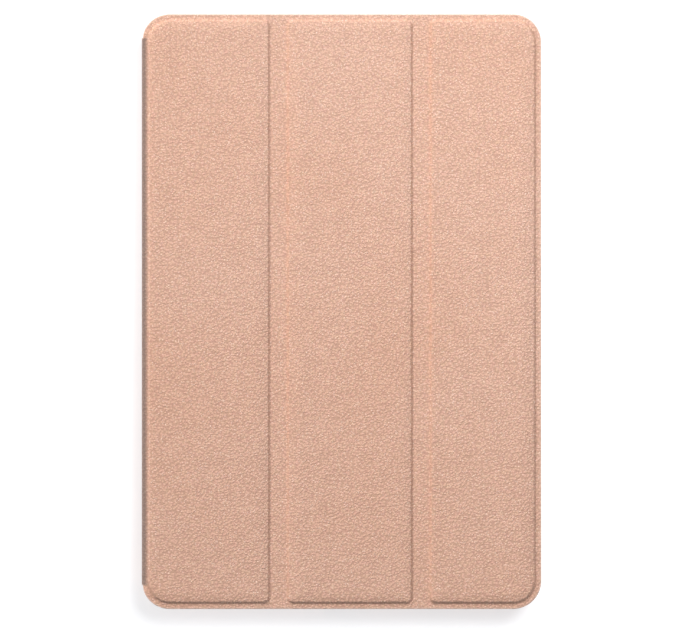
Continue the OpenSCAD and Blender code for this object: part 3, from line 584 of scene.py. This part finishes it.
def hide_finish(name, deep, mid, light, per_metre, depth, rough, **fixed):
    """Embossed leather that reads its own UV map, which holds the flat hide's metres."""
    made, tree, skin = bare(name)
    where = put(tree, "UVMap", {"uv_map": "flat_metres"}).outputs["UV"]
    pebble = put(tree, "Group", {"node_tree": pebble_group}, Where=where, i1=per_metre)
    touch = put(tree, "Group", {"node_tree": touch_group}, Where=where)
    base = tint(tree, pebble.outputs["Tone"], deep, mid)
    speckled = put(tree, "Mix", {"data_type": "RGBA"}, i0=pebble.outputs["Speck"], i6=base,
                   i7=(*light, 1)).outputs[2]
    # the dye takes unevenly: its hue over millimetres, its strength over centimetres
    dyed = put(tree, "TexNoise", Vector=where, Scale=520.0, Detail=2.0).outputs["Fac"]
    worn = put(tree, "TexNoise", Vector=where, Scale=14.0, Detail=3.0).outputs["Fac"]
    faded = put(tree, "HueSaturation", Hue=between(tree, dyed, 0.3, 0.7, 0.494, 0.508),
                Saturation=between(tree, worn, 0.3, 0.7, 0.97, 1.03),
                Value=between(tree, worn, 0.3, 0.7, 1.015, 0.985), Color=speckled)
    # painted shade: where the hide turns round the spine, its colour is darkened along the whole of
    # the spine, standing in for the shade on the rounded turn
    place = put(tree, "SeparateXYZ", Vector=where).outputs
    turn = reckon(tree, "MULTIPLY", between(tree, place["X"], *comes_in, 0, 1, True),
                  between(tree, place["X"], *goes_out, 0.35, 1, True))
    length = reckon(tree, "ABSOLUTE", place["Y"])
    spine_end = spine_y / 1000
    painted_turn_shade = reckon(tree, "MULTIPLY", turn, between(
        tree, length, spine_end - end_fade, spine_end + end_fade, 0.74, 0))
    shaded = put(tree, "Mix", {"data_type": "RGBA"}, i0=painted_turn_shade, i6=faded.outputs[0],
                 i7=(*turn_shade_colour, 1)).outputs[2]
    # the cut edge is paler: partly worn colour off its corner, partly a painted highlight standing in
    # for the light its rounded corner catches
    rim = put(tree, "Attribute", {"attribute_name": "from_cut_edge"}).outputs["Fac"]
    pale_wear_and_highlight = put(tree, "Mix", {"data_type": "RGBA"}, i0=between(tree, rim, 0.0008, 0.0002, 0, 0.35),
               i6=shaded, i7=(*light, 1)).outputs[2]
    dull = reckon(tree, "MULTIPLY_ADD", touch.outputs["Smear"], 0.05,
                  between(tree, pebble.outputs["Tone"], 0, 1, rough + 0.08, rough))
    bump = put(tree, "Bump", Distance=depth / 1000, Strength=1.0, Height=pebble.outputs["Height"])
    set_up(tree, skin, None, {"Base Color": pale_wear_and_highlight, "Roughness": dull,
                              "Normal": bump.outputs["Normal"], **fixed})
    return made


rose_leather = hide_finish("rose_leather", (0.425, 0.240, 0.172), (0.606, 0.355, 0.257),
                           (0.78, 0.60, 0.51), 860.0, 0.105, 0.46, Specular_IOR_Level=0.8)


def arc(cx, cy, r, start, stop, steps=14):
    """Points on an arc about (cx, cy), from start to stop degrees."""
    turns = [math.radians(start + (stop - start) * i / steps) for i in range(steps + 1)]
    return [(cx + r * math.cos(a), cy + r * math.sin(a)) for a in turns]


def shifted(chain, inset, closed):
    """The chain moved inset to its left, with its corners mitred."""
    moved = []
    last = len(chain) - 1
    for i, (x, y) in enumerate(chain):
        before = chain[i - 1] if i or closed else None
        after = chain[(i + 1) % len(chain)] if i < last or closed else None
        sides = []
        for a, b in ((before, (x, y)), ((x, y), after)):
            if a and b:
                length = math.dist(a, b)
                sides.append(((a[1] - b[1]) / length, (b[0] - a[0]) / length))
        nx, ny = (sum(side[k] for side in sides) / len(sides) for k in (0, 1))
        scale = inset / max(0.25, nx * nx + ny * ny)
        moved.append((x + nx * scale, y + ny * scale))
    return moved


def to_edge(point, chains):
    """How far a point is from the nearest of the chains."""
    px, py = point
    best = math.inf
    for chain in chains:
        for (ax, ay), (bx, by) in zip(chain, chain[1:]):
            dx, dy = bx - ax, by - ay
            t = max(0, min(1, ((px - ax) * dx + (py - ay) * dy) / (dx * dx + dy * dy)))
            best = min(best, (px - ax - t * dx) ** 2 + (py - ay - t * dy) ** 2)
    return math.sqrt(best)


def leaf(name, made, loop, edges, place, outer, inner, rings=(), lines=(), dots=()):
    """A sheet cut flat along loop in (s, y) millimetres, then wrapped by place(s, offset).

    edges are the stretches of its outline that are real cut edges, which are rounded over; rings
    and lines are extra mesh lines; outer and inner give both faces' offsets at (s, y, edge)."""
    points, joins = [], []

    def string(chain, closed):
        first = len(points)
        points.extend(chain)
        count = len(chain)
        joins.extend((first + i, first + (i + 1) % count) for i in range(count - (not closed)))

    for part in loop:
        string(part, True)
    for part in edges:
        closed = part[0] == part[-1]
        chain = part[:-1] if closed else part
        for inset in edge_lines:
            string(shifted(chain, inset, closed), closed)
    for part in rings:
        string(part, True)
    for part in lines:
        string(part, False)
    points.extend(dots)
    flat, _, faces, _, _, _ = delaunay_2d_cdt(points, joins, [], 0, 1e-5)

    def inside(x, y):
        hits = 0
        for part in loop:
            for (ax, ay), (bx, by) in zip(part, part[1:] + part[:1]):
                hits += (ay > y) != (by > y) and x < (bx - ax) * (y - ay) / (by - ay) + ax
        return hits % 2

    faces = [f for f in faces
             if inside(sum(flat[i].x for i in f) / 3, sum(flat[i].y for i in f) / 3)]
    used = sorted({i for f in faces for i in f})
    renumbered = {old: new for new, old in enumerate(used)}
    count = len(used)
    spots, uvs = [], []
    reach = [to_edge(flat[i], edges) for i in used]
    for face in (outer, inner):
        for i, edge in zip(used, reach):
            s, y = flat[i]
            x, z = place(s, face(s, y, edge))
            spots.append((x / 1000, y / 1000, z / 1000))
            uvs.append((s / 1000, y / 1000))
    skins = [tuple(renumbered[i] for i in f) for f in faces]
    skins += [tuple(renumbered[i] + count for i in reversed(f)) for f in faces]
    sides = {side: True for f in skins[:len(faces)] for side in zip(f, f[1:] + f[:1])}
    walls = [(b, a, a + count, b + count) for a, b in sides if (b, a) not in sides]
    mesh = bpy.data.meshes.new(name)
    mesh.from_pydata(spots, [], skins + walls)
    layer = mesh.uv_layers.new(name="flat_metres")
    for corner in mesh.loops:
        layer.data[corner.index].uv = uvs[corner.vertex_index]
    rim = mesh.attributes.new("from_cut_edge", "FLOAT", "POINT")
    rim.data.foreach_set("value", [min(edge, 5) / 1000 for edge in reach] * 2)
    shape = bmesh.new()
    shape.from_mesh(mesh)
    bmesh.ops.recalc_face_normals(shape, faces=shape.faces)
    shape.to_mesh(mesh)
    shape.free()
    mesh.materials.append(made)
    mesh.shade_smooth()
    mesh.set_sharp_from_angle(angle=math.radians(48))
    piece = bpy.data.objects.new(name, mesh)
    scene.collection.objects.link(piece)
    return piece


def rounded_over(edge):
    """How far a cut edge's face has dropped, edge mm in from the cut."""
    inward = max(0.0, edge_r - edge)
    return edge_r - math.sqrt(edge_r * edge_r - inward * inward)


def upright(values):
    """Straight mesh lines across the whole hide, at these s."""
    reach = cover_y + 3.5
    return [[(s, -reach), (s, reach)] for s in values]


def wrapped(s, offset, level, side):
    """(x, z) of a point s mm from the turn's start on a hide whose flat lies at level. side is 1
    where its outer face looks up and -1 where it looks down."""
    if s >= 0:
        return bend_x + s, level + side * offset
    centre = level - side * turn_r
    if s > -quarter:
        a = -s / turn_r
        return (bend_x - (turn_r + offset) * math.sin(a),
                centre + side * (turn_r + offset) * math.cos(a))
    return bend_x - turn_r - offset, centre - side * (-s - quarter)


def below(s, offset):
    """(x, z) on the back's hide."""
    return wrapped(s, offset, 0.0, -1)


def above(s, offset):
    """(x, z) on the cover's hide."""
    return wrapped(s, offset, web_z, 1)


def at(x, z):
    """A blend's start or end, from millimetres."""
    return (x / 1000, 0, z / 1000)


back_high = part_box("case_back_leather")[1]
back_x, back_y = mm(back_high.x), mm(back_high.y)
back_corner_r, back_spine_r = 11.15, 9.5
lens_hole_r = 7.0
hinge_side = math.degrees(math.asin((spine_y - (back_y - back_spine_r)) / back_spine_r))
head = [(back_x - bend_x, 0.0)]
head += arc(back_x - bend_x - back_corner_r, back_y - back_corner_r, back_corner_r, 0, 90)
head += arc(back_spine_r, back_y - back_spine_r, back_spine_r, 90, 180 - hinge_side, 12)
head += [(spine_s, spine_y)]
foot = [(s, -y) for s, y in reversed(head[1:])]
back_outline = foot + head
lens_x, lens_y = mm(lens_middle[0]), mm(lens_middle[1])
lens_hole = arc(lens_x - bend_x, lens_y, lens_hole_r, 360, 0, 48)[:-1]
turn_lines = [spine_s * 0.99 + 0.02] + [-quarter * i / 9 for i in range(10)]

leather_back = leaf("leather_back", rose_leather, [back_outline, lens_hole],
                    [back_outline, lens_hole + lens_hole[:1]], below,
                    lambda s, y, edge: -rounded_over(edge), lambda s, y, edge: -leather_t,
                    lines=upright(turn_lines))
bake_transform(leather_back)
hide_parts("case_back_leather", "spine_leather")

# ---- Spine lining ----
# Brushed microfibre covers the inside of the spine's board and turns with the leather at both
# of its edges. It is glued on before the cover is closed.
lining_finish = finish("microfibre", (0.235, 0.170, 0.150), (0.36, 0.275, 0.245), 0.93,
                       per_metre=1300, depth=0.05, Sheen_Weight=0.6, Sheen_Roughness=0.4)
# how deep both faces of the lining lie: at the shell's floor, under the panels, at the spine
floor_out, floor_in = 0.6, 0.9
flat_out, flat_in = 0.6, 1.0
spine_out, spine_in = 1.1, 1.4
inner_x = bend_x - turn_r + spine_in
lining_end, lining_start = spine_y - leather_t, -0.05


def sunk(flat, spine):
    """A lining face that lies flat mm deep and eases to spine mm over the spine's board."""
    def depth(s, y, edge):
        part = max(0, min(1, (-s - 0.3) / (quarter - 0.3)))
        return -flat - (spine - flat) * part * part * (3 - 2 * part)
    return depth


lower_lining = leaf(
    "lining_lower", lining_finish,
    [[(spine_s, -lining_end), (lining_start, -lining_end), (lining_start, lining_end),
      (spine_s, lining_end)]], [], below, sunk(floor_out, spine_out), sunk(floor_in, spine_in),
    lines=upright(turn_lines[:-1]))
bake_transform(lower_lining)
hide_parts("spine_lining")

# ---- Cover ----
# Three grey boards lie between the leather and the lining, with bare webs between them that
# fold. The leather is pressed down around each board, so a soft bevel shows at its edges.
board = finish("grey_board", (0.20, 0.19, 0.175), (0.34, 0.325, 0.30), 0.9, per_metre=700,
               depth=0.04)
dress(board, "spine_board", "panel_1_board", "panel_2_board", "panel_3_board")
nickel = finish("magnet", (0.55, 0.54, 0.52), (0.66, 0.65, 0.62), 0.25, 1.0, per_metre=500,
                depth=0.003)
dress(nickel, "closing_magnets", "wake_magnet")

rise_t = round(mm(case_top) - web_z, 2)
board_margin = 0.65
bevel_out, bevel_in = 0.25, 1.1
ring_insets = [-bevel_out + (bevel_in + bevel_out) * i / 8 for i in range(9)]
panel_y = round(mm(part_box("panel_2_board")[1].y) + board_margin, 2)
panel_r = 2.8
panel_outer_r = round(cover_r - (cover_y - panel_y), 2)

# each panel's left and right side, from its board's, then its corner radius there
panels = []
for number, corners in (("1", (panel_outer_r, panel_r)), ("2", (panel_r, panel_r)),
                        ("3", (panel_r, panel_outer_r))):
    board_low, board_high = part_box(f"panel_{number}_board")
    panels.append((round(mm(board_low.x) - board_margin, 2),
                   round(mm(board_high.x) + board_margin, 2), *corners))


def panel_ring(panel, inset):
    """A panel's rounded outline, inset mm inwards."""
    left, right, r0, r1 = panel
    left, right, high = left - bend_x + inset, right - bend_x - inset, panel_y - inset
    r0, r1 = max(r0 - inset, 0.4), max(r1 - inset, 0.4)
    return (arc(left + r0, r0 - high, r0, 180, 270, 9) + arc(right - r1, r1 - high, r1, 270, 360, 9)
            + arc(right - r1, high - r1, r1, 0, 90, 9) + arc(left + r0, high - r0, r0, 90, 180, 9))


def inset_of(panel, s, y):
    """How far (s, y) is inside a panel's outline; negative outside it."""
    left, right, r0, r1 = panel
    middle, half_w = (left + right) / 2 - bend_x, (right - left) / 2
    r = r0 if s < middle else r1
    qx, qy = abs(s - middle) - half_w + r, abs(y) - panel_y + r
    return r - math.hypot(max(qx, 0), max(qy, 0)) - min(max(qx, qy), 0)


def swell_of(s, y, deep):
    """The slow unevenness of leather glued over a board, deep mm in from the panel's edge."""
    part = max(0, min(1, (deep - 2) / 9))
    return 0.035 * part * math.sin(s / 8.5 + 1.4 * math.sin(y / 21)) * math.sin(y / 12.5 + s / 31)


def lifted(s, y):
    """How high a board lifts the hide at (s, y), and how far inside its outline that is."""
    deep = max(inset_of(panel, s, y) for panel in panels)
    part = max(0, min(1, (deep + bevel_out) / (bevel_out + bevel_in)))
    return rise_t * part * part * (3 - 2 * part), deep


def cover_outer(s, y, edge):
    """The offset of the cover's face side."""
    rise, deep = lifted(s, y)
    return rise + swell_of(s, y, deep) - rounded_over(edge)


def cover_inner(s, y, edge):
    """The offset of the cover's flesh side, which follows the face."""
    return lifted(s, y)[0] - leather_t


def cover_corner(inset, side):
    """The cover's rounded corner, from its end towards the spine's end, inset mm inwards."""
    r = cover_r - inset
    if side > 0:
        return arc(cover_x - bend_x - cover_r, cover_y - cover_r, r, 0, 90, 16)
    stop = math.degrees(math.asin((spine_y - inset - cover_y + cover_r) / r))
    return arc(cover_r - cover_x - bend_x, cover_y - cover_r, r, 90, 180 - stop, 16)


def flipped(chain):
    """The chain mirrored to the foot's side and run the other way."""
    return [(s, -y) for s, y in reversed(chain)]


# Each stretch of the cover spans one joint and ends in the middle of a board: the two bodies it
# joins, its start and end, the panels it covers, and where its blend runs
cover_end = cover_x - bend_x
mid_1, mid_2 = (round((left + right) / 2 - bend_x, 2) for left, right, _, _ in panels[:2])
web_1, web_2 = ([at(panels[i][1], web_z), at(panels[i + 1][0], web_z)] for i in range(2))
stretches = [
    ("1", "spine", "panel_1", spine_s, mid_1, panels[:1],
     [at(bend_x - turn_r, web_z - turn_r), at(bend_x, web_z)]),
    ("2", "panel_1", "panel_2", mid_1, mid_2, panels[:2], web_1),
    ("3", "panel_2", "panel_3", mid_2, cover_end, panels[1:], web_2)]
web_first, web_step = -0.3, 0.64
web_lines = {"1": turn_lines}
for number, panel in (("2", panels[0]), ("3", panels[1])):
    first = round(panel[1] - bend_x + web_first, 2)
    web_lines[number] = [first + web_step * i for i in range(13)]
bump_s = range(4, int(cover_end), 7)
bump_y = range(-119, 120, 7)


def stretch_loop(start, stop, inset):
    """The outline of one stretch of the cover, and the chains of it that are cut edges."""
    if start == spine_s:
        top_chain = [(stop, cover_y - inset)] + cover_corner(inset, -1)
        top_chain += [(spine_s, spine_y - inset)]
        chains = [flipped(top_chain), top_chain]
    elif stop == cover_end:
        rim = cover_corner(inset, 1) + [(start, cover_y - inset)]
        chains = [flipped(rim) + rim]
    else:
        top_chain = [(stop, cover_y - inset), (start, cover_y - inset)]
        chains = [flipped(top_chain), top_chain]
    return [p for chain in chains for p in chain], chains


for number, body, next_body, start, stop, touched, turn_over in stretches:
    outline, chains = stretch_loop(start, stop, 0)
    bumps = [(s, y) for s in (start, stop, *bump_s) for y in bump_y
             if start <= s <= stop and any(inset_of(p, s, y) > 2.4 for p in touched)]
    cover = leaf("cover_leather_" + number, rose_leather, [outline], chains, above,
                 cover_outer, cover_inner, lines=upright(web_lines[number]), dots=bumps,
                 rings=[panel_ring(p, inset) for p in touched for inset in ring_insets])
    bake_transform(cover)
    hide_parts(f"panel_{number}_leather")

    outline, _ = stretch_loop(start, stop, leather_t)
    lining = leaf("lining_" + number, lining_finish, [outline], [], above,
                  sunk(flat_out, spine_out), sunk(flat_in, spine_in),
                  lines=upright(web_lines[number]))
    if number == "1":
        turn_over = [at(inner_x, web_z - turn_r), at(bend_x, web_z - flat_in)]
    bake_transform(lining)
    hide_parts(f"panel_{number}_lining")
